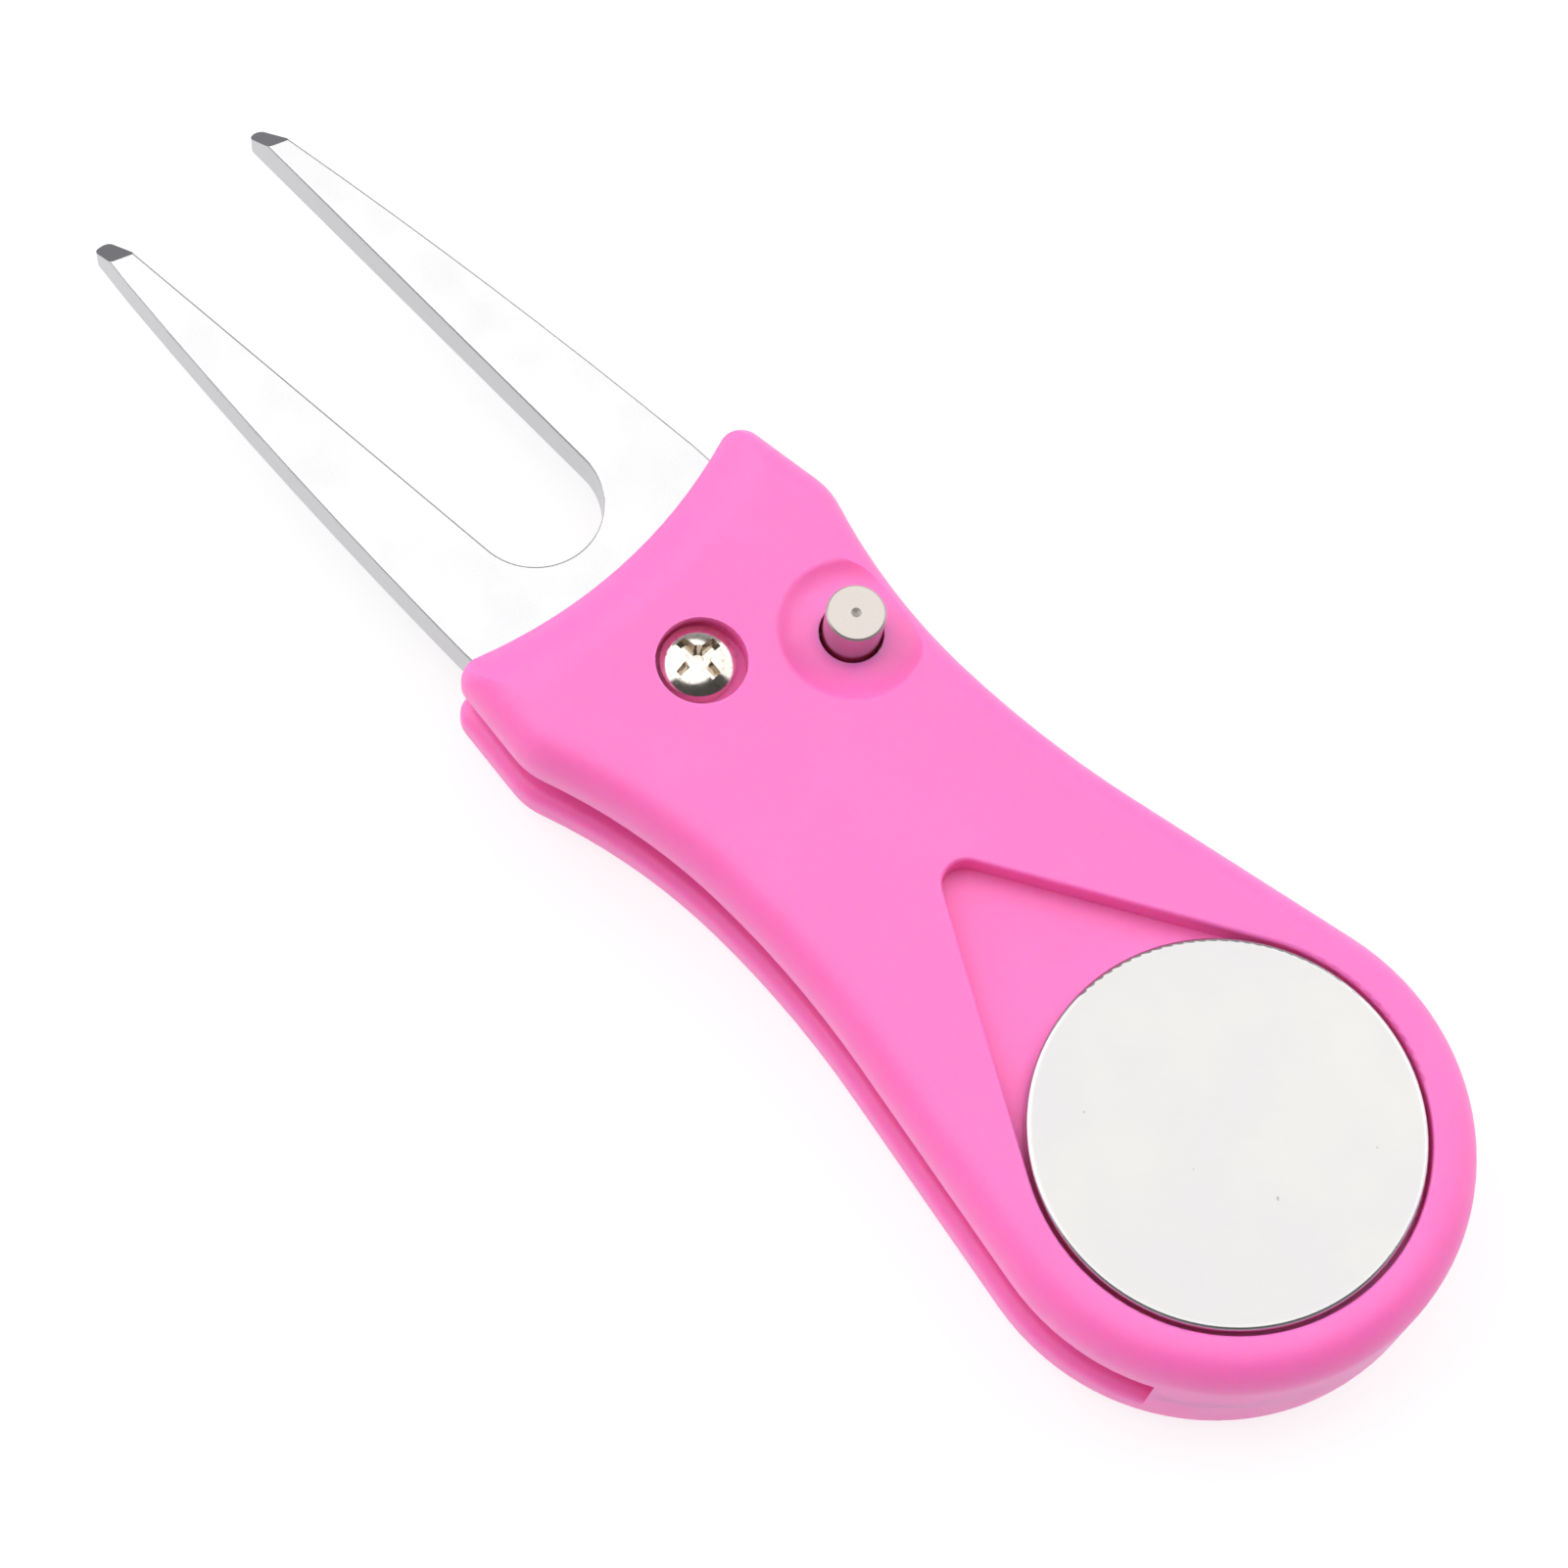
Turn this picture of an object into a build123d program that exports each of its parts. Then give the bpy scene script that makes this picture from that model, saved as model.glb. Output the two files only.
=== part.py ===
from build123d import *
import os
from math import acos, asin, atan2, cos, degrees, hypot, radians, sin, sqrt

# Divot repair tool, millimetres. It lies on its rear face on XY, with +Y along the handle towards
# the fork's tips and +Z towards the face that carries the ball marker. The origin is on the ball
# marker's axis, at the rear face.

os.makedirs("parts", exist_ok=True)

# Thickness stack, from the rear face up
rear_wall = 3.75
slot_gap = 3.7
front_wall = 3.55
slot_floor = rear_wall
slot_roof = slot_floor + slot_gap
handle_t = slot_roof + front_wall
parting_z = slot_floor + slot_gap / 2

# Clearance round a located part, and half the band in which an edge is looked for
fit_gap = 0.05
near = 0.6

# Handle outline
tail_r = 15.6
waist_half = 10.85
waist_y = 32.0
waist_back_r = 68.0
waist_front_r = 40.0
kink_y = 46.3
head_half = 12.5
mouth_y = 51.9
mouth_r = 34.0
kink_round = 5.0
head_round = 1.4
front_round = 2.4
rear_round = 2.0
roll_run = 4.0
roll_r = 5.0
roll_arc = 66
roll_over = 2.0

# Pivot and lock pin
pivot_x = -1.36
pivot_y = 43.65
bush_r = 1.8
screw_r = 1.25
screw_head_r = 2.38
screw_head_side = 1.1
screw_dome_rise = 0.72
head_seat_depth = 1.75
head_seat_r = 2.9
head_seat_shift = 0.3
washer_t = 0.25
washer_r = 3.5
head_seat_z = handle_t - head_seat_depth
screw_tip_z = 0.5
screw_tip_chamfer = 0.3
recess_span = 3.4
recess_w = 0.85
recess_core_r = 0.85
recess_depth = 1.15
recess_taper = 14
nut_flats = 4.5
nut_t = 1.6
nut_z = 0.3
nut_chamfer = 0.25
pin_x = 6.95
pin_y = 38.4
pin_r = 1.88
pin_hole_r = 2.07
pin_proud = 2.56
pin_chamfer = 0.12
pin_centre_r = 0.32
pin_centre_tip_r = 0.05
pin_centre_depth = 0.2
spring_seat_r = 1.3
spring_seat_h = 0.5
collar_r = 2.6
collar_h = 2.0
collar_top = slot_roof - 0.25
chamber_r = 2.95
chamber_floor = 0.6
dish_r = 4.85
dish_slope = 38
dish_floor_round = 2.4
dish_rim_round = 0.7
dish_rim_slope = 8

# Fork
fork_t = 3.1
fork_z = slot_floor + (slot_gap - fork_t) / 2
fork_lean = 1.3
fork_axis_x = 1.36
shoulder_y = 11.35
shoulder_half = 10.35
prong_mid_y = 26.3
prong_mid_half = 9.36
prong_end_y = 44.7
prong_end_half = 7.42
prong_gap_shift = 0.22
crotch_y = 11.2
crotch_r = 4.4
left_tip_y = 48.5
left_tip_out = 6.85
left_tip_in = 5.65
right_tip_y = 47.55
right_tip_out = 7.05
right_tip_in = 6.05
fork_edge_round = 0.2
bevel_run = 2.1
bevel_drop = 1.7
bevel_skew = 22.0
tang_r = 6.5
root_y = 9.0
flank_r = 10.7
tip_round = 0.52
prong_width = 3.0
stop_gap = 0.06
bevel_over = 0.5

# Blade slot
fold_wall_x = 8.2
slot_end_r = 52.5
rear_lip_round = 0.8
front_lip_round = 0.3
tang_room = 0.5
open_side = 22.0
open_front = 62.0
stop_wall_r = 11.3
stop_wall_turn = -17
head_wall_back = (10.45, 47.0)
head_wall_front = (10.7, open_front)

# Ball marker, its pocket and the finger scoop
marker_r = 12.25
marker_t = 1.75
pocket_r = 12.5
pocket_depth = 1.65
pocket_floor = handle_t - pocket_depth
scoop_apex_y = 24.9
scoop_round = 1.6
rim_round = 0.25
marker_rim_round = 0.3
marker_back_chamfer = 0.2
magnet_r = 5.0
magnet_t = 1.2
magnet_chamfer = 0.15

# Springs
torsion_r = 4.7
torsion_wire = 0.5
torsion_groove_in = 4.2
torsion_groove_out = 5.3
torsion_floor = 1.85
torsion_turns = 1.5
torsion_pitch = 0.58
torsion_hole_r = 0.45
torsion_hole_depth = 1.3
torsion_leg_down = 1.1
torsion_leg_up = 1.9
press_r = 1.9
press_wire = 0.3
press_turns = 3
spring_rest_gap = 0.01

# Case screws in the tail
case_x = 5.2
case_y = -10.4
case_shank_r = 0.85
case_head_r = 1.7
case_hole_end_z = 8.0
case_tip_z = 7.7
case_head_z = 0.35
case_head_h = 1.0
case_head_round = 0.35
case_head_room = 0.2
case_shank_room = 0.1
case_recess_span = 1.9
case_recess_w = 0.5
case_recess_depth = 0.6
peg_r = 0.7
peg_h = 1.0
peg_hole_end = 0.2

# A solid stood on its point, or hung from it
standing = (Align.CENTER, Align.CENTER, Align.MIN)
hanging = (Align.CENTER, Align.CENTER, Align.MAX)

pivot = (pivot_x, pivot_y)
pin = (pin_x, pin_y)
case_points = [(-case_x, case_y), (case_x, case_y)]
peg_points = [(9.9, 20.0), (11.75, 46.2)]

# Handle outline: tail arc, straight flanks, waist and flared head, drawn on +X and mirrored
back_x = waist_half + waist_back_r
flank_lean = atan2(waist_y, back_x) - acos((tail_r + waist_back_r) / hypot(back_x, waist_y))
tail_end = (tail_r * cos(flank_lean), tail_r * sin(flank_lean))
flank_end = (back_x - waist_back_r * cos(flank_lean), waist_y - waist_back_r * sin(flank_lean))
kink_turn = asin((kink_y - waist_y) / waist_front_r)
kink_x = waist_half + waist_front_r * (1 - cos(kink_turn))
head_y = mouth_y + mouth_r - sqrt(mouth_r**2 - head_half**2)

with BuildSketch() as handle_outline:
    with BuildLine():
        CenterArc((0, 0), tail_r, -90, 90 + degrees(flank_lean))
        Line(tail_end, flank_end)
        CenterArc((back_x, waist_y), waist_back_r, 180 + degrees(flank_lean), -degrees(flank_lean))
        CenterArc((waist_half + waist_front_r, waist_y), waist_front_r, 180, -degrees(kink_turn))
        Line((kink_x, kink_y), (head_half, head_y))
        CenterArc((0, mouth_y + mouth_r), mouth_r, -90, degrees(asin(head_half / mouth_r)))
        Line((0, mouth_y), (0, -tail_r))
    make_face()
    mirror(about=Plane.YZ)

# Space between the shells in which the fork swings: open at the left side and at the mouth
stop_wall_end = (
    pivot_x + stop_wall_r * cos(radians(stop_wall_turn)),
    pivot_y + stop_wall_r * sin(radians(stop_wall_turn)),
)
with BuildSketch() as slot_outline:
    with BuildLine():
        Polyline(
            (fold_wall_x, pivot_y),
            (fold_wall_x, -slot_end_r),
            (-open_side, -slot_end_r),
            (-open_side, pivot_y),
            close=True,
        )
    make_face()
    with Locations(pivot):
        Circle(slot_end_r, mode=Mode.INTERSECT)
        Circle(tang_r + tang_room)
    with Locations(pin):
        Circle(chamber_r)
    with BuildLine():
        Polyline(
            pivot,
            stop_wall_end,
            head_wall_back,
            head_wall_front,
            (-open_side, open_front),
            (-open_side, pivot_y),
            close=True,
        )
    make_face()

# Teardrop pocket: the marker's circle and the two lines tangent to it that meet at the scoop's apex
scoop_turn = asin(pocket_r / scoop_apex_y)
with BuildSketch() as pocket_outline:
    with BuildLine():
        Polyline(
            (pocket_r * cos(scoop_turn), pocket_r * sin(scoop_turn)),
            (0, scoop_apex_y),
            (-pocket_r * cos(scoop_turn), pocket_r * sin(scoop_turn)),
            (0, 0),
            close=True,
        )
    make_face()
    fillet(pocket_outline.vertices().sort_by(Axis.Y)[-1], scoop_round)
    Circle(pocket_r)

# Front shell: outer form, slot, marker pocket with its scoop, pivot seat, pin dish and locating pegs
with BuildPart() as front_shell:
    with BuildSketch(Plane.XY.offset(parting_z)):
        add(handle_outline.sketch)
    extrude(amount=handle_t - parting_z)
    fillet(front_shell.edges().filter_by(Axis.Z).group_by(Axis.Y)[-1], head_round)
    kinks = front_shell.edges().filter_by(Axis.Z).filter_by_position(Axis.Y, kink_y - near, kink_y + near)
    fillet(kinks, kink_round)
    fillet(front_shell.faces().sort_by(Axis.Z)[-1].edges(), front_round)
    with BuildSketch(Plane((0, mouth_y + mouth_r, handle_t), x_dir=(0, -1, 0), z_dir=(-1, 0, 0))):
        with BuildLine():
            roll = CenterArc((mouth_r + roll_run, -roll_r), roll_r, 90, roll_arc)
            Polyline(
                roll @ 1,
                (mouth_r - roll_over, roll_over),
                (mouth_r + roll_run, roll_over),
                roll @ 0,
            )
        make_face()
    revolve(axis=Axis((0, mouth_y + mouth_r, 0), (0, 0, 1)), mode=Mode.SUBTRACT)
    with BuildSketch(Plane.XY.offset(slot_floor)):
        add(slot_outline.sketch)
    extrude(amount=slot_gap, mode=Mode.SUBTRACT)
    roof_edges = front_shell.edges().filter_by_position(Axis.Z, slot_roof - fit_gap, slot_roof + fit_gap)
    fillet(roof_edges.filter_by_position(Axis.X, -open_side, -waist_half), front_lip_round)
    with BuildSketch(Plane.XY.offset(pocket_floor)):
        add(pocket_outline.sketch)
    extrude(amount=pocket_depth, mode=Mode.SUBTRACT)
    front_face = front_shell.faces().filter_by(Plane.XY).group_by(Axis.Z)[-1].sort_by(SortBy.AREA)[-1]
    fillet(front_face.inner_wires()[0].edges(), rim_round)
    with BuildSketch(Plane.XY.offset(pocket_floor - magnet_t - fit_gap)):
        Circle(magnet_r + fit_gap)
    extrude(amount=magnet_t + fit_gap, mode=Mode.SUBTRACT)
    with Locations((pivot_x, pivot_y, handle_t)):
        Hole(screw_r + fit_gap)
    with BuildSketch(Plane.XY.offset(head_seat_z)):
        with Locations((pivot_x, pivot_y - head_seat_shift)):
            Circle(head_seat_r)
    extrude(amount=head_seat_depth, mode=Mode.SUBTRACT)
    with BuildSketch(Plane((pin_x, pin_y, handle_t), x_dir=(1, 0, 0), z_dir=(0, -1, 0))):
        with BuildLine():
            rim_turn = radians(dish_rim_slope)
            rim_centre = (dish_r + dish_rim_round * sin(rim_turn), -dish_rim_round * cos(rim_turn))
            rim = CenterArc(rim_centre, dish_rim_round, 90 + dish_rim_slope, dish_slope - dish_rim_slope)
            reach = dish_rim_round + dish_floor_round
            floor_centre = (
                rim_centre[0] - reach * sin(radians(dish_slope)),
                rim_centre[1] + reach * cos(radians(dish_slope)),
            )
            bowl = CenterArc(floor_centre, dish_floor_round, dish_slope - 90, -dish_slope)
            Polyline(bowl @ 1, (0, (bowl @ 1).Y), (0, 0), rim @ 0)
        make_face()
    revolve(axis=Axis((pin_x, pin_y, 0), (0, 0, 1)), mode=Mode.SUBTRACT)
    with Locations((pin_x, pin_y, handle_t)):
        Hole(pin_hole_r)
    with BuildSketch(Plane.XY.offset(parting_z)):
        with Locations(*case_points):
            Circle(case_shank_r)
    extrude(amount=case_hole_end_z - parting_z, mode=Mode.SUBTRACT)
    with BuildSketch(Plane.XY.offset(parting_z)):
        with Locations(*peg_points):
            Circle(peg_r)
    extrude(amount=-peg_h)

front_shell.part.label = "front_shell"
export_step(front_shell.part, "parts/front_shell.step")

# Rear shell: outer form, slot, spring chamber, torsion spring groove, nut seat and screw holes
with BuildPart() as rear_shell:
    with BuildSketch():
        add(handle_outline.sketch)
    extrude(amount=parting_z)
    fillet(rear_shell.edges().filter_by(Axis.Z).group_by(Axis.Y)[-1], head_round)
    kinks = rear_shell.edges().filter_by(Axis.Z).filter_by_position(Axis.Y, kink_y - near, kink_y + near)
    fillet(kinks, kink_round)
    fillet(rear_shell.faces().sort_by(Axis.Z)[0].edges(), rear_round)
    with BuildSketch(Plane.XY.offset(slot_floor)):
        add(slot_outline.sketch)
    extrude(amount=slot_gap, mode=Mode.SUBTRACT)
    floor_edges = rear_shell.edges().filter_by_position(Axis.Z, slot_floor - fit_gap, slot_floor + fit_gap)
    fillet(floor_edges.filter_by_position(Axis.X, -open_side, -waist_half), rear_lip_round)
    with BuildSketch(Plane.XY.offset(chamber_floor)):
        with Locations(pin):
            Circle(chamber_r)
    extrude(amount=slot_floor - chamber_floor, mode=Mode.SUBTRACT)
    with BuildSketch(Plane.XY.offset(torsion_floor)):
        with Locations(pivot):
            Circle(torsion_groove_out)
            Circle(torsion_groove_in, mode=Mode.SUBTRACT)
    extrude(amount=slot_floor - torsion_floor, mode=Mode.SUBTRACT)
    with BuildSketch(Plane.XY.offset(torsion_floor)):
        with Locations((pivot_x + torsion_r, pivot_y)):
            Circle(torsion_hole_r)
    extrude(amount=-torsion_hole_depth, mode=Mode.SUBTRACT)
    with BuildSketch():
        with Locations(pivot):
            RegularPolygon(nut_flats / 2 + fit_gap, 6, major_radius=False)
    extrude(amount=nut_z + nut_t, mode=Mode.SUBTRACT)
    with Locations((pivot_x, pivot_y, slot_floor)):
        Hole(screw_r + fit_gap)
    with BuildSketch():
        with Locations(*case_points):
            Circle(case_head_r + case_head_room)
    extrude(amount=case_head_z + case_head_h, mode=Mode.SUBTRACT)
    with BuildSketch():
        with Locations(*case_points):
            Circle(case_shank_r + case_shank_room)
    extrude(amount=parting_z, mode=Mode.SUBTRACT)
    with BuildSketch(Plane.XY.offset(parting_z)):
        with Locations(*peg_points):
            Circle(peg_r + fit_gap)
    extrude(amount=-(peg_h + peg_hole_end), mode=Mode.SUBTRACT)

rear_shell.part.label = "rear_shell"
export_step(rear_shell.part, "parts/rear_shell.step")

# Fork, drawn about its own centre line: that line leans from the handle's, and the pivot sits beside it
lean_x = cos(radians(fork_lean))
lean_y = sin(radians(fork_lean))
fork_plane = Plane(
    origin=(pivot_x + fork_axis_x * lean_x, pivot_y + fork_axis_x * lean_y, fork_z),
    x_dir=(lean_x, lean_y, 0),
    z_dir=(0, 0, 1),
)
pin_reach = hypot(pin_x - pivot_x, pin_y - pivot_y)
pin_bearing = degrees(atan2(pin_y - pivot_y, pin_x - pivot_x)) - fork_lean
stop_angle = degrees(asin((collar_r + stop_gap) / pin_reach))
right_flank = radians(pin_bearing + stop_angle)
left_flank = radians(pin_bearing - stop_angle + 180)
tang_x = -fork_axis_x

tips = [(-left_tip_in - left_tip_out, left_tip_y), (right_tip_in + right_tip_out, right_tip_y)]
bevel_end = bevel_drop * (1 + bevel_over / bevel_run)
bevel_bearing = radians(fork_lean - bevel_skew)
bevel_dir = (cos(bevel_bearing), sin(bevel_bearing), 0)
tip_planes = [
    Plane(
        origin=fork_plane.from_local_coords((x / 2, y, fork_t)),
        x_dir=(-bevel_dir[1], bevel_dir[0], 0),
        z_dir=bevel_dir,
    )
    for x, y in tips
]

with BuildPart() as fork:
    with BuildSketch(fork_plane):
        with BuildLine():
            Polyline(
                (tang_x, 0),
                (tang_x + flank_r * cos(right_flank), flank_r * sin(right_flank)),
                (shoulder_half, root_y),
                (shoulder_half, shoulder_y),
            )
            ThreePointArc(
                (shoulder_half, shoulder_y),
                (prong_mid_half, prong_mid_y),
                (prong_end_half, prong_end_y),
            )
            Polyline(
                (prong_end_half, prong_end_y),
                (right_tip_out, right_tip_y),
                (right_tip_in, right_tip_y),
                (prong_gap_shift + crotch_r, crotch_y + crotch_r),
            )
            CenterArc((prong_gap_shift, crotch_y + crotch_r), crotch_r, 0, -180)
            Polyline(
                (prong_gap_shift - crotch_r, crotch_y + crotch_r),
                (-left_tip_in, left_tip_y),
                (-left_tip_out, left_tip_y),
                (-prong_end_half, prong_end_y),
            )
            ThreePointArc(
                (-prong_end_half, prong_end_y),
                (-prong_mid_half, prong_mid_y),
                (-shoulder_half, shoulder_y),
            )
            Polyline(
                (-shoulder_half, shoulder_y),
                (-shoulder_half, root_y),
                (tang_x + flank_r * cos(left_flank), flank_r * sin(left_flank)),
                (tang_x, 0),
            )
        make_face()
        with Locations((tang_x, 0)):
            Circle(tang_r)
    extrude(amount=fork_t)
    tip_low_y = pivot_y + right_tip_y - near
    tip_high_y = pivot_y + left_tip_y + near
    fillet(fork.edges().filter_by(Axis.Z).filter_by_position(Axis.Y, tip_low_y, tip_high_y), tip_round)
    with BuildSketch(*tip_planes):
        with BuildLine():
            Polyline((-bevel_run, 0), (bevel_over, -bevel_end), (bevel_over, 0), close=True)
        make_face()
    extrude(amount=prong_width, both=True, mode=Mode.SUBTRACT)
    plate_faces = fork.faces().filter_by(Plane.XY)
    fillet(plate_faces.edges(), fork_edge_round)
    with Locations((pivot_x, pivot_y, fork_z + fork_t)):
        Hole(bush_r + fit_gap)
    with BuildSketch(Plane.XY.offset(fork_z)):
        with Locations((pivot_x - torsion_r, pivot_y)):
            Circle(torsion_hole_r)
    extrude(amount=torsion_hole_depth, mode=Mode.SUBTRACT)

fork.part.label = "fork"
export_step(fork.part, "parts/fork.step")

# Pivot screw: domed head with a cross recess, its shank through the sleeve into the nut
dome_z = head_seat_z + screw_head_side
dome_r = (screw_head_r**2 + screw_dome_rise**2) / (2 * screw_dome_rise)
dome_turn = degrees(asin(screw_head_r / dome_r))
with BuildPart() as pivot_screw:
    with Locations((pivot_x, pivot_y, screw_tip_z)):
        Cylinder(screw_r, head_seat_z - screw_tip_z, align=standing)
    with Locations((pivot_x, pivot_y, head_seat_z)):
        Cylinder(screw_head_r, screw_head_side, align=standing)
    with BuildSketch(Plane((pivot_x, pivot_y, dome_z), x_dir=(1, 0, 0), z_dir=(0, -1, 0))):
        with BuildLine():
            dome = CenterArc((0, screw_dome_rise - dome_r), dome_r, 90, -dome_turn)
            Polyline(dome @ 1, (0, 0), dome @ 0)
        make_face()
    revolve(axis=Axis((pivot_x, pivot_y, 0), (0, 0, 1)))
    with BuildSketch(Plane.XY.offset(dome_z + screw_dome_rise)):
        with Locations(pivot):
            Rectangle(recess_span, recess_w)
            Rectangle(recess_w, recess_span)
            Circle(recess_core_r)
    extrude(amount=-recess_depth, taper=recess_taper, mode=Mode.SUBTRACT)
    chamfer(pivot_screw.edges().filter_by(GeomType.CIRCLE).group_by(Axis.Z)[0], screw_tip_chamfer)

pivot_screw.part.label = "pivot_screw"
export_step(pivot_screw.part, "parts/pivot_screw.step")

# Sleeve between the shells, on which the fork turns, and the hex nut in the rear shell
with BuildPart() as pivot_sleeve:
    with BuildSketch(Plane.XY.offset(slot_floor)):
        with Locations(pivot):
            Circle(bush_r)
            Circle(screw_r + fit_gap, mode=Mode.SUBTRACT)
    extrude(amount=slot_gap)

pivot_sleeve.part.label = "pivot_sleeve"
export_step(pivot_sleeve.part, "parts/pivot_sleeve.step")

with BuildPart() as pivot_nut:
    with BuildSketch(Plane.XY.offset(nut_z)):
        with Locations(pivot):
            RegularPolygon(nut_flats / 2, 6, major_radius=False)
            Circle(screw_r, mode=Mode.SUBTRACT)
    extrude(amount=nut_t)
    chamfer(pivot_nut.edges().filter_by(GeomType.CIRCLE).group_by(Axis.Z)[0], nut_chamfer)

pivot_nut.part.label = "pivot_nut"
export_step(pivot_nut.part, "parts/pivot_nut.step")

# Washers between the fork and each shell
with BuildSketch() as washer_face:
    with Locations(pivot):
        Circle(washer_r)
        Circle(bush_r + fit_gap, mode=Mode.SUBTRACT)

with BuildPart() as front_washer:
    with BuildSketch(Plane.XY.offset(slot_roof - washer_t)):
        add(washer_face.sketch)
    extrude(amount=washer_t)

front_washer.part.label = "front_washer"
export_step(front_washer.part, "parts/front_washer.step")

with BuildPart() as rear_washer:
    with BuildSketch(Plane.XY.offset(slot_floor)):
        add(washer_face.sketch)
    extrude(amount=washer_t)

rear_washer.part.label = "rear_washer"
export_step(rear_washer.part, "parts/rear_washer.step")

# Torsion spring: one leg down into the rear shell, the other up into the fork
torsion_low_z = torsion_floor + torsion_wire / 2 + fit_gap
torsion_high_z = torsion_low_z + torsion_turns * torsion_pitch
with BuildPart() as torsion_spring:
    with BuildLine(Plane.XY.offset(torsion_low_z)):
        torsion_coil = Helix(torsion_pitch, torsion_turns * torsion_pitch, torsion_r, center=pivot)
    with BuildSketch(Plane(origin=torsion_coil @ 0, z_dir=torsion_coil % 0)):
        Circle(torsion_wire / 2)
    sweep(path=torsion_coil, is_frenet=True)
    with Locations((pivot_x + torsion_r, pivot_y, torsion_low_z)):
        Sphere(torsion_wire / 2)
        Cylinder(torsion_wire / 2, torsion_leg_down, align=hanging)
    with Locations((pivot_x - torsion_r, pivot_y, torsion_high_z)):
        Sphere(torsion_wire / 2)
        Cylinder(torsion_wire / 2, torsion_leg_up, align=standing)

torsion_spring.part.label = "torsion_spring"
export_step(torsion_spring.part, "parts/torsion_spring.step")

# Lock button: pin through the front shell, and the collar that stops the fork
with BuildPart() as lock_button:
    with Locations((pin_x, pin_y, collar_top)):
        Cylinder(pin_r, handle_t + pin_proud - collar_top, align=standing)
        Cylinder(collar_r, collar_h, align=hanging)
    chamfer(lock_button.edges().filter_by(GeomType.CIRCLE).group_by(Axis.Z)[-1], pin_chamfer)
    with Locations((pin_x, pin_y, handle_t + pin_proud)):
        Cone(pin_centre_tip_r, pin_centre_r, pin_centre_depth, align=hanging, mode=Mode.SUBTRACT)
    with Locations((pin_x, pin_y, collar_top - collar_h)):
        Cylinder(spring_seat_r, spring_seat_h, align=hanging)

lock_button.part.label = "lock_button"
export_step(lock_button.part, "parts/lock_button.step")

# Button spring, between the chamber floor and the collar
press_low_z = chamber_floor + press_wire / 2 + spring_rest_gap
press_high_z = collar_top - collar_h - press_wire / 2 - spring_rest_gap
press_length = press_high_z - press_low_z
with BuildPart() as button_spring:
    with BuildLine(Plane.XY.offset(press_low_z)):
        press_coil = Helix(press_length / press_turns, press_length, press_r, center=pin)
    with BuildSketch(Plane(origin=press_coil @ 0, z_dir=press_coil % 0)):
        Circle(press_wire / 2)
    sweep(path=press_coil, is_frenet=True)

button_spring.part.label = "button_spring"
export_step(button_spring.part, "parts/button_spring.step")

# Magnet set into the pocket's floor, with the ball marker on it
with BuildPart() as marker_magnet:
    with Locations((0, 0, pocket_floor - fit_gap)):
        Cylinder(magnet_r, magnet_t, align=hanging)
    chamfer(marker_magnet.edges(), magnet_chamfer)

marker_magnet.part.label = "marker_magnet"
export_step(marker_magnet.part, "parts/marker_magnet.step")

with BuildPart() as ball_marker:
    with Locations((0, 0, pocket_floor)):
        Cylinder(marker_r, marker_t, align=standing)
    fillet(ball_marker.edges().group_by(Axis.Z)[-1], marker_rim_round)
    chamfer(ball_marker.edges().group_by(Axis.Z)[0], marker_back_chamfer)

ball_marker.part.label = "ball_marker"
export_step(ball_marker.part, "parts/ball_marker.step")

# Case screws: two alike, driven from the rear into the front shell's tail
with BuildPart() as case_screws:
    with Locations(*[(x, y, case_head_z) for x, y in case_points]):
        Cylinder(case_head_r, case_head_h, align=standing)
        Cylinder(case_shank_r, case_tip_z - case_head_z, align=standing)
    fillet(case_screws.edges().filter_by(GeomType.CIRCLE).group_by(Axis.Z)[0], case_head_round)
    with BuildSketch(Plane.XY.offset(case_head_z)):
        with Locations(*case_points):
            Rectangle(case_recess_span, case_recess_w)
            Rectangle(case_recess_w, case_recess_span)
    extrude(amount=case_recess_depth, taper=recess_taper, mode=Mode.SUBTRACT)

case_screws.part.label = "case_screws"
export_step(case_screws.part, "parts/case_screws.step")
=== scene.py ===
"""Looks of the folding divot tool: a procedural finish per node, pale floor, soft light and camera."""

import math

import bpy
from mathutils import Matrix, Vector


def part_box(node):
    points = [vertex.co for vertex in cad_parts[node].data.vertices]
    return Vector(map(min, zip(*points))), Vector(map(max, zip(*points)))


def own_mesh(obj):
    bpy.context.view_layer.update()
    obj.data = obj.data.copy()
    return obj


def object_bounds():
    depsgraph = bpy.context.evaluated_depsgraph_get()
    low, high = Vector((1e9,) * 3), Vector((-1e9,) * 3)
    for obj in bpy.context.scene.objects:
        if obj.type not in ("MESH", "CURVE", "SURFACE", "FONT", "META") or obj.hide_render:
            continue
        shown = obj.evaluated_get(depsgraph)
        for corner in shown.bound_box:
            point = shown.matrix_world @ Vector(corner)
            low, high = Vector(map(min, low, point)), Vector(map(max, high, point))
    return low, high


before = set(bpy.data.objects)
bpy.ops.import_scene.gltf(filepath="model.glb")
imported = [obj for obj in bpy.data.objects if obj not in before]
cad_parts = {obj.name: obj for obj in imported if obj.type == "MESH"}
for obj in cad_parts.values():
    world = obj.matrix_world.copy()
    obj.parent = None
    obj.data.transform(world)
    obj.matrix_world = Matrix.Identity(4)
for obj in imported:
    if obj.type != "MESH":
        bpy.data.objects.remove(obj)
cad_low, cad_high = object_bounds()
scene = bpy.context.scene

MM = 0.001
PER_MM = 1000.0


# Where things are, all from the frame

def middle(node):
    """The middle of a CAD node's box, in metres."""
    low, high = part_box(node)
    return (low + high) / 2


marker_centre = middle("ball_marker")
marker_radius = (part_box("ball_marker")[1].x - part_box("ball_marker")[0].x) / 2
pin_axis = middle("lock_button")
pivot_axis = middle("pivot_screw")
fork_tip_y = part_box("fork")[1].y
front_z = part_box("front_shell")[1].z


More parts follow.
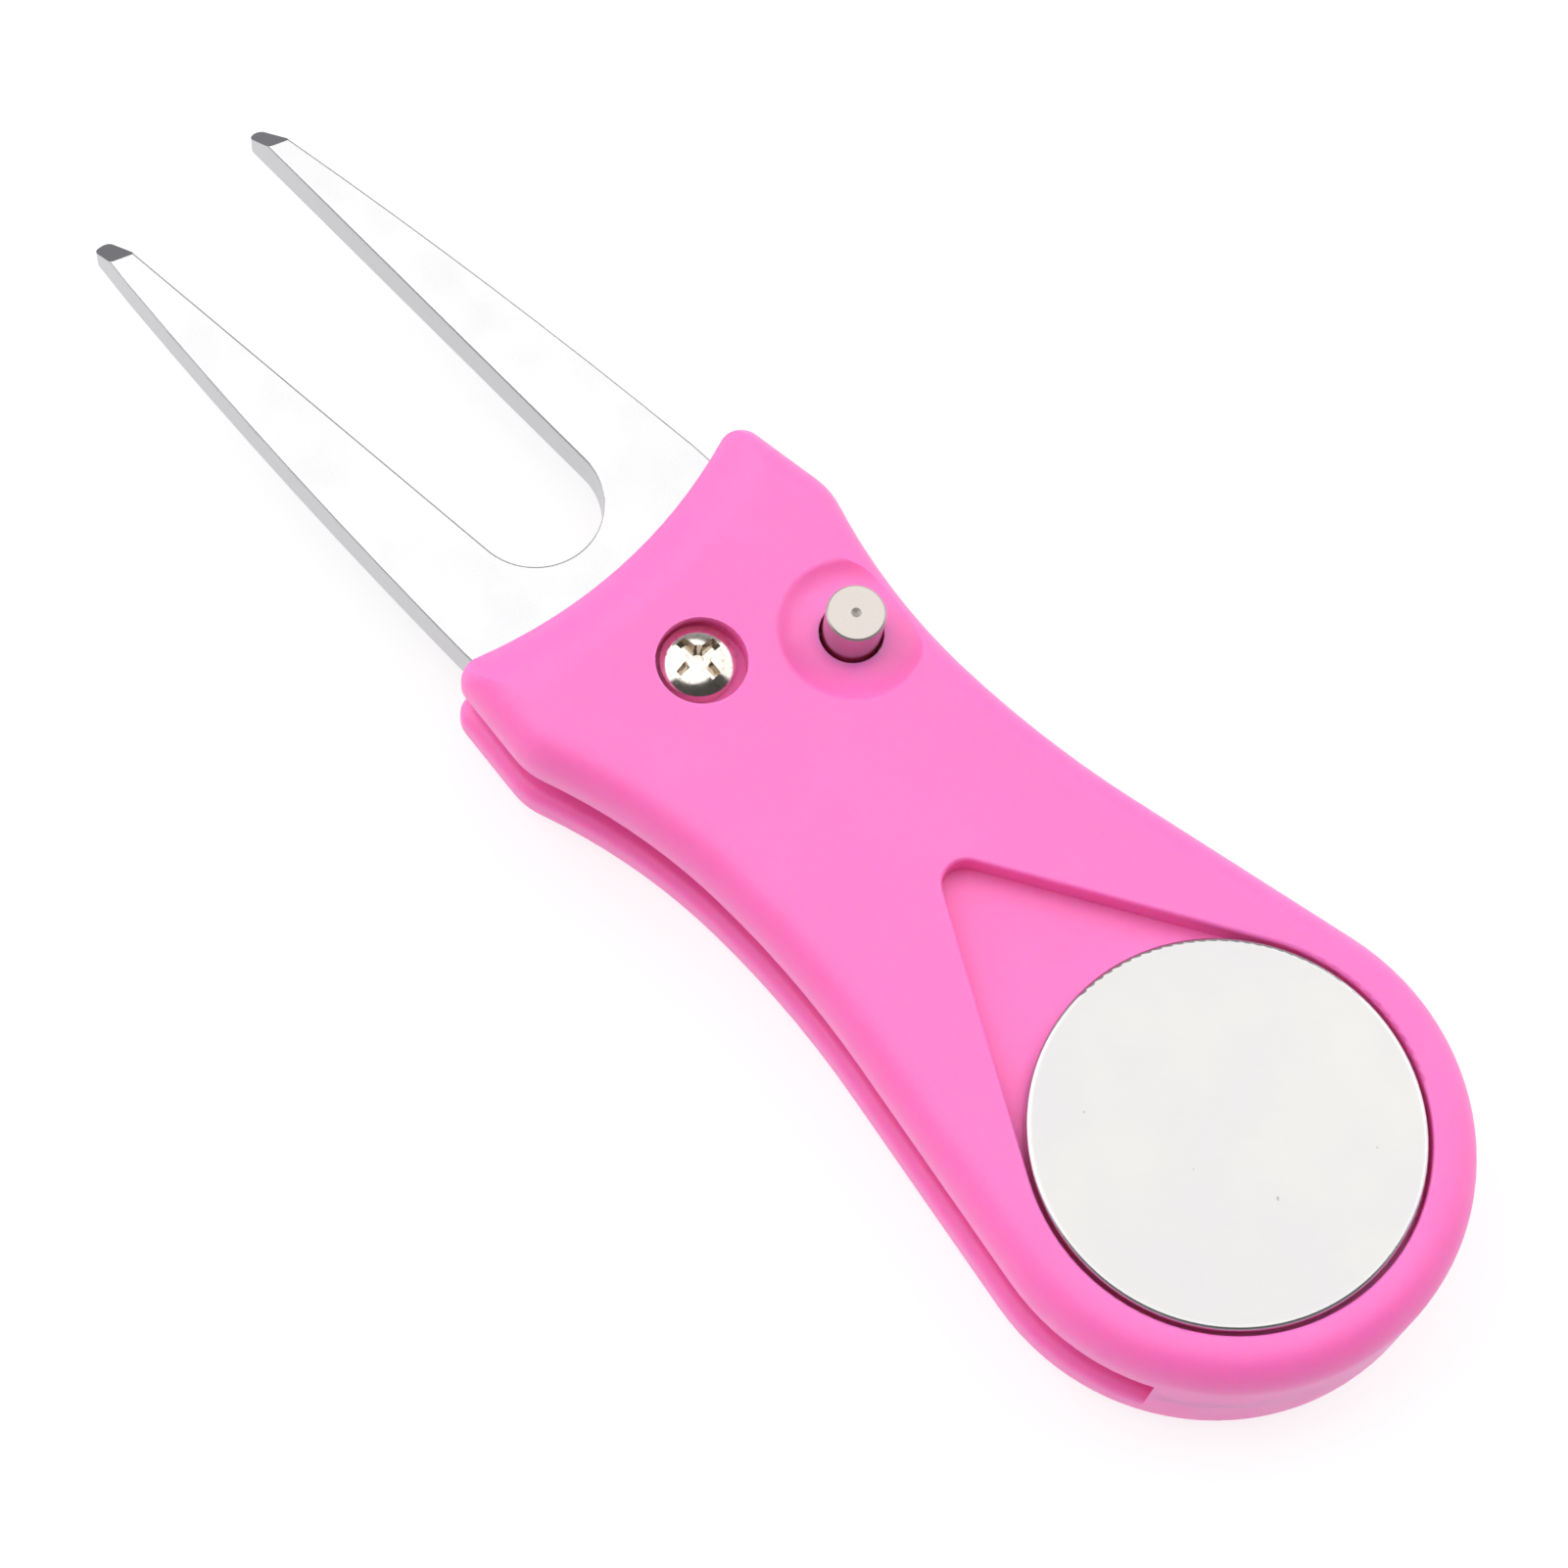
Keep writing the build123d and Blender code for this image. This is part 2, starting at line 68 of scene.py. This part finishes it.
# Node trees

def map_range(tree, value, low, high, out_low, out_high):
    """Maps value from low..high to out_low..out_high, and holds it at both ends."""
    made = tree.nodes.new("ShaderNodeMapRange")
    for socket, number in zip(("From Min", "From Max", "To Min", "To Max"), (low, high, out_low, out_high)):
        made.inputs[socket].default_value = number
    tree.links.new(value, made.inputs["Value"])
    return made.outputs["Result"]


class Finish:
    """A node material: a Principled shader and the node shapes that the finishes share, in millimetres."""

    def __init__(self, name, centre=(0, 0, 0), **sockets):
        self.material = bpy.data.materials.new(name)
        self.material.use_nodes = True
        self.tree = self.material.node_tree
        self.shader = self.tree.nodes["Principled BSDF"]
        self.shade(**sockets)
        place = self.add("ShaderNodeTexCoord")
        scaled = self.add("ShaderNodeMapping")
        scaled.inputs["Location"].default_value = [-c * PER_MM for c in centre]
        scaled.inputs["Scale"].default_value = (PER_MM,) * 3
        self.link(place.outputs["Object"], scaled.inputs["Vector"])
        self.at = scaled.outputs["Vector"]
        self.facing = place.outputs["Normal"]

    def add(self, kind, **settings):
        """A new node with the settings given."""
        made = self.tree.nodes.new(kind)
        for name, value in settings.items():
            setattr(made, name, value)
        return made

    def link(self, source, target):
        self.tree.links.new(source, target)

    def put(self, socket, value):
        """Feeds an input from a number, a colour or another node's output."""
        if isinstance(value, bpy.types.NodeSocket):
            self.link(value, socket)
        else:
            socket.default_value = value

    def math(self, operation, first, second=0.0):
        """A sum on one or two numbers."""
        made = self.add("ShaderNodeMath", operation=operation)
        self.put(made.inputs[0], first)
        self.put(made.inputs[1], second)
        return made.outputs[0]

    def noise(self, scale, detail=2.0, vector=None):
        """Noise of about 1 / scale millimetres."""
        made = self.add("ShaderNodeTexNoise")
        made.inputs["Scale"].default_value = scale
        made.inputs["Detail"].default_value = detail
        self.link(vector or self.at, made.inputs["Vector"])
        return made.outputs["Fac"]

    def stretched(self, x, y, z, turn=0.0):
        """The place with each axis scaled, turned first by an angle about Z, for streaks."""
        turned = self.add("ShaderNodeMapping")
        turned.inputs["Rotation"].default_value[2] = turn
        self.link(self.at, turned.inputs["Vector"])
        scaled = self.add("ShaderNodeMapping")
        scaled.inputs["Scale"].default_value = (x, y, z)
        self.link(turned.outputs["Vector"], scaled.inputs["Vector"])
        return scaled.outputs["Vector"]

    def ranged(self, value, low, high, out_low=0.0, out_high=1.0):
        """map_range in this material's tree, onto 0 to 1 unless told otherwise."""
        return map_range(self.tree, value, low, high, out_low, out_high)

    def spread(self, noise, out_low=0.0, out_high=1.0):
        """Noise drawn out from 0.3 to 0.7, where most of it lies."""
        return self.ranged(noise, 0.3, 0.7, out_low, out_high)

    def mix(self, kind, share, first, second):
        """first where share is 0 and second where it is 1."""
        made = self.add("ShaderNodeMix", data_type=kind)
        self.put(made.inputs["Factor"], share)
        self.put(made.inputs["A"], first)
        self.put(made.inputs["B"], second)
        return made.outputs["Result"]

    def mixed(self, share, first, second):
        """A mix of two colours."""
        return self.mix("RGBA", share, first, second)

    def blended(self, share, first, second):
        """A mix of two numbers."""
        return self.mix("FLOAT", share, first, second)

    def parts(self, vector):
        """The X, Y and Z of a vector."""
        made = self.add("ShaderNodeSeparateXYZ")
        self.link(vector, made.inputs["Vector"])
        return made.outputs["X"], made.outputs["Y"], made.outputs["Z"]

    def radius(self):
        """Distance from the vertical axis through the centre, in millimetres."""
        x, y, _ = self.parts(self.at)
        return self.math("SQRT", self.math("ADD", self.math("MULTIPLY", x, x), self.math("MULTIPLY", y, y)))

    def bump(self, height, depth, before=None):
        """A bump whose height of 0 to 1 stands for depth millimetres."""
        made = self.add("ShaderNodeBump")
        made.inputs["Strength"].default_value = 1.0
        made.inputs["Distance"].default_value = depth * MM
        self.link(height, made.inputs["Height"])
        if before is not None:
            self.link(before, made.inputs["Normal"])
        return made.outputs["Normal"]

    def shade(self, **sockets):
        """Feeds the shader's sockets, named with _ for a space."""
        for name, value in sockets.items():
            self.put(self.shader.inputs[name.replace("_", " ")], value)


def lit(red, green, blue):
    """An sRGB colour of 0 to 255 as the linear colour that nodes take."""
    def linear(value):
        share = value / 255
        return share / 12.92 if share <= 0.04045 else ((share + 0.055) / 1.055) ** 2.4
    return (linear(red), linear(green), linear(blue), 1.0)


# Finishes

def soft_touch():
    """Moulded plastic under a matte soft-touch coat: fine grain, mottling and a slightly uneven sheen."""
    look = Finish(
        "soft_touch_pink",
        Specular_IOR_Level=0.6,
        Coat_Weight=0.35,
        Coat_Roughness=0.5,
        Subsurface_Weight=0.7,
        Subsurface_Radius=(1.0, 0.15, 0.35),
        Subsurface_Scale=1.6 * MM,
    )
    mottle = look.ranged(look.noise(0.12, 3.0), 0.35, 0.65)
    grain = look.noise(9.0, 3.0)
    colour = look.mixed(mottle, lit(253, 108, 188), lit(254, 112, 191))
    colour = look.mixed(look.spread(grain, 0.0, 0.10), colour, lit(255, 130, 204))
    handled = look.spread(look.noise(0.35, 4.0), 0.42, 0.50)
    pebble = look.bump(grain, 0.006)
    wave = look.bump(look.noise(0.5, 1.0), 0.02, pebble)
    look.shade(Base_Color=colour, Roughness=handled, Normal=wave)
    return look.material


def fork_steel():
    """Tumbled and plated steel: bright clouded flats, sheared sides and a painted dark reflection on the
    sloping tip facets.
    """
    tip_start, tip_full = fork_tip_y * PER_MM - 4.5, fork_tip_y * PER_MM - 4.3
    look = Finish("fork_steel", Metallic=1.0)
    # The way a face looks tells the flats, the sides and the sloping ends apart; the sloping ends near the
    # tips get a painted dark reflection
    _, normal_y, normal_z = look.parts(look.facing)
    _, along, _ = look.parts(look.at)
    side = look.ranged(look.math("ABSOLUTE", normal_z), 0.75, 0.25)
    near_tip = look.ranged(along, tip_start, tip_full)
    sloping = look.math("MULTIPLY", look.ranged(normal_z, 0.35, 0.45), look.ranged(normal_z, 0.93, 0.88))
    tipwards = look.ranged(normal_y, 0.25, 0.35)
    painted_tip_reflection = look.math("MULTIPLY", near_tip, look.math("MULTIPLY", sloping, tipwards))
    grain = look.noise(5.0, 4.0)
    cloud = look.spread(look.noise(0.25, 3.0))
    flat = look.mixed(cloud, lit(195, 195, 196), lit(201, 201, 201))
    layers = look.noise(0.6, 2.0, look.stretched(1, 1, 12))
    sheared = look.mixed(layers, lit(193, 193, 195), lit(202, 201, 205))
    colour = look.mixed(side, flat, sheared)
    # Painted dark reflection: the sloping tip facets are coloured dark grey to stand for the dark
    # surroundings mirrored in them
    colour = look.mixed(painted_tip_reflection, colour, lit(93, 92, 97))
    roughness = look.blended(side, look.spread(grain, 0.25, 0.29), 0.36)
    streaks = look.noise(1.0, 3.0, look.stretched(4, 4, 0.6))
    shallow = look.bump(grain, 0.0002)
    look.shade(Base_Color=colour, Roughness=roughness, Normal=look.bump(streaks, 0.0008, shallow))
    return look.material


def plated_screw(name, centre):
    """Bright nickel plate with a faint orange peel and a trace of dirt in it."""
    look = Finish(name, centre, Metallic=1.0)
    peel = look.noise(2.2, 2.0)
    dirt = look.ranged(look.noise(3.0, 5.0), 0.55, 0.75)
    colour = look.mixed(dirt, lit(222, 215, 206), lit(180, 166, 152))
    look.shade(
        Base_Color=colour,
        Roughness=look.spread(look.noise(6.0, 3.0), 0.12, 0.18),
        Normal=look.bump(peel, 0.003),
    )
    return look.material


def turned(name, centre, light, dark, pitch):
    """Lathe-turned metal: rings of one pitch, in millimetres, round the piece's own axis and along it."""
    mark_radius, mark_edge = 0.30, 0.36
    look = Finish(name, centre, Metallic=1.0)
    _, _, height = look.parts(look.at)
    _, _, facing_z = look.parts(look.facing)
    wobble = look.math("MULTIPLY", look.noise(0.8, 2.0), 0.5 * pitch)

    def ripple(distance):
        angle = look.math("MULTIPLY", look.math("ADD", distance, wobble), 2 * math.pi / pitch)
        return look.math("SINE", angle)

    across = ripple(look.radius())
    lengthways = ripple(height)
    flat = look.ranged(look.math("ABSOLUTE", facing_z), 0.4, 0.8)
    rings = look.blended(flat, lengthways, across)
    grain = look.noise(7.0, 4.0)
    # A rough centre mark in the middle of each end face
    off_mark = look.ranged(look.radius(), mark_radius, mark_edge)
    faced = look.blended(off_mark, 0.7, look.spread(grain, 0.32, 0.38))
    colour = look.mixed(look.ranged(grain, 0.25, 0.75), dark, light)
    look.shade(
        Base_Color=colour,
        Roughness=look.blended(flat, look.spread(grain, 0.12, 0.2), faced),
        Normal=look.bump(look.ranged(rings, -1, 1), 0.002, look.bump(grain, 0.0008)),
    )
    return look.material


def marker_face():
    """Satin ball marker: faint brushing across the face, a smoother turned rim and a few specks."""
    rim_start, rim_full = marker_radius * PER_MM - 0.40, marker_radius * PER_MM - 0.25
    speck_start, speck_full = 0.81, 0.84
    look = Finish("marker_satin", marker_centre, Metallic=1.0)
    rim = look.ranged(look.radius(), rim_start, rim_full)
    brushed = look.noise(1.0, 4.0, look.stretched(0.5, 9.0, 1.0, math.radians(35)))
    cloud = look.spread(look.noise(0.16, 3.0))
    speck = look.ranged(look.noise(1.7, 1.0), speck_start, speck_full)
    face = look.mixed(cloud, lit(187, 185, 186), lit(190, 189, 186))
    face = look.mixed(speck, face, lit(160, 158, 156))
    colour = look.mixed(rim, face, lit(196, 195, 195))
    roughness = look.blended(rim, look.spread(brushed, 0.30, 0.38), 0.26)
    look.shade(Base_Color=colour, Roughness=roughness, Normal=look.bump(brushed, 0.0015))
    return look.material


def drawn_wire():
    """Spring wire with drawing lines and slight heat tint."""
    look = Finish("spring_wire", Metallic=1.0)
    lines = look.noise(1.0, 3.0, look.stretched(10, 10, 1.5))
    tint = look.mixed(look.ranged(look.noise(0.7), 0.35, 0.65), lit(168, 168, 172), lit(186, 178, 164))
    look.shade(Base_Color=tint, Roughness=look.spread(lines, 0.2, 0.34), Normal=look.bump(lines, 0.002))
    return look.material


def nickel_plate():
    """Plated magnet: bright, with fine pits."""
    look = Finish("magnet_plate", marker_centre, Metallic=1.0)
    pits = look.noise(4.0, 4.0)
    colour = look.mixed(look.spread(pits), lit(188, 186, 182), lit(210, 208, 204))
    look.shade(Base_Color=colour, Roughness=look.spread(pits, 0.14, 0.24), Normal=look.bump(pits, 0.002))
    return look.material


steel_light, steel_dark = lit(186, 179, 174), lit(181, 173, 168)
shell_finish = soft_touch()
wire_finish = drawn_wire()
finishes = {
    "front_shell": shell_finish,
    "rear_shell": shell_finish,
    "fork": fork_steel(),
    "pivot_screw": plated_screw("pivot_screw_nickel", pivot_axis),
    "case_screws": plated_screw("case_screw_nickel", middle("case_screws")),
    "lock_button": turned("pin_turned", pin_axis, steel_light, steel_dark, pitch=0.14),
    "pivot_sleeve": turned("sleeve_turned", pivot_axis, steel_light, steel_dark, pitch=0.16),
    "front_washer": turned("front_washer_turned", pivot_axis, steel_light, steel_dark, pitch=0.22),
    "rear_washer": turned("rear_washer_turned", pivot_axis, steel_light, steel_dark, pitch=0.22),
    "pivot_nut": turned("nut_brass", pivot_axis, lit(232, 200, 128), lit(206, 170, 98), pitch=0.2),
    "ball_marker": marker_face(),
    "marker_magnet": nickel_plate(),
    "torsion_spring": wire_finish,
    "button_spring": wire_finish,
}

for name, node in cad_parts.items():
    for holder in node.material_slots:
        holder.material = finishes[name]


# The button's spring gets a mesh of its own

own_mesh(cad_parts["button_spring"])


# Floor

def add_floor():
    """A wide pale disc just under the tool, which glows, so that it comes out nearly white."""
    radius, drop, sides = 4.0, 0.02 * MM, 96
    mesh = bpy.data.meshes.new("floor")
    turns = [2 * math.pi * side / sides for side in range(sides)]
    rim = [(radius * math.cos(turn), radius * math.sin(turn), cad_low.z - drop) for turn in turns]
    mesh.from_pydata(rim, [], [list(range(sides))])
    floor = bpy.data.objects.new("floor", mesh)
    scene.collection.objects.link(floor)
    look = Finish(
        "floor_white",
        Roughness=0.75,
        Specular_IOR_Level=0.2,
        Emission_Color=lit(255, 255, 255),
        Emission_Strength=0.76,
    )
    look.shade(Base_Color=look.mixed(look.noise(0.02, 2.0), lit(137, 137, 137), lit(141, 141, 141)))
    mesh.materials.append(look.material)


add_floor()


# Light

def direction(azimuth, elevation):
    """The unit vector at an azimuth, from +X towards +Y, and an elevation, in degrees."""
    turn, rise = math.radians(azimuth), math.radians(elevation)
    return Vector((math.cos(turn) * math.cos(rise), math.sin(turn) * math.cos(rise), math.sin(rise)))


def soft_sun(name, azimuth, elevation, width, strength):
    """A wide, even source far away in that direction, which fills an angle of width, in degrees."""
    lamp = bpy.data.lights.new(name, "SUN")
    lamp.energy = strength * math.pi
    lamp.angle = math.radians(width)
    light = bpy.data.objects.new(name, lamp)
    light.rotation_mode = "QUATERNION"
    light.rotation_quaternion = direction(azimuth, elevation).to_track_quat("Z", "Y")
    scene.collection.objects.link(light)


soft_sun("key_softbox", 64, 73, 80, 0.70)
soft_sun("right_strip", -18, 32, 56, 0.30)
soft_sun("left_strip", 117, 36, 60, 0.38)


def add_surroundings():
    """Pale studio walls all round, which fade upwards into the dark ceiling where the softboxes hang."""
    wall_top, ceiling = 0.38, 0.6  # the sines of the elevations, about 22 and 37 degrees
    wall_strength, ceiling_strength = 0.46, 0.08
    world = bpy.data.worlds.new("studio")
    world.use_nodes = True
    tree = world.node_tree
    background = tree.nodes["Background"]
    sky = tree.nodes.new("ShaderNodeTexCoord")
    height = tree.nodes.new("ShaderNodeSeparateXYZ")
    tree.links.new(sky.outputs["Generated"], height.inputs["Vector"])
    strength = map_range(tree, height.outputs["Z"], wall_top, ceiling, wall_strength, ceiling_strength)
    tree.links.new(strength, background.inputs["Strength"])
    background.inputs["Color"].default_value = lit(250, 250, 252)
    scene.world = world


add_surroundings()
scene.view_settings.view_transform = "Standard"


# Camera

def add_camera(azimuth, elevation, roll, distance, aim, lens):
    """A camera that looks at aim. Azimuth 0 looks along +Y, and roll turns it about its line of sight."""
    back = direction(azimuth - 90, elevation)
    level = direction(azimuth, 0)
    lean = math.radians(roll)
    right = level * math.cos(lean) + back.cross(level) * math.sin(lean)
    up = back.cross(right)
    data = bpy.data.cameras.new("camera")
    data.lens = lens
    data.sensor_width = 36.0
    data.clip_start = 0.01
    camera = bpy.data.objects.new("camera", data)
    turn = Matrix((right, up, back)).transposed().to_4x4()
    camera.matrix_world = Matrix.Translation(aim + back * distance) @ turn
    scene.collection.objects.link(camera)
    scene.camera = camera


add_camera(
    azimuth=-57.29,
    elevation=68.98,
    roll=12.70,
    distance=0.26685,
    aim=Vector((-0.0035, 0.0341, front_z)),
    lens=100.0,
)
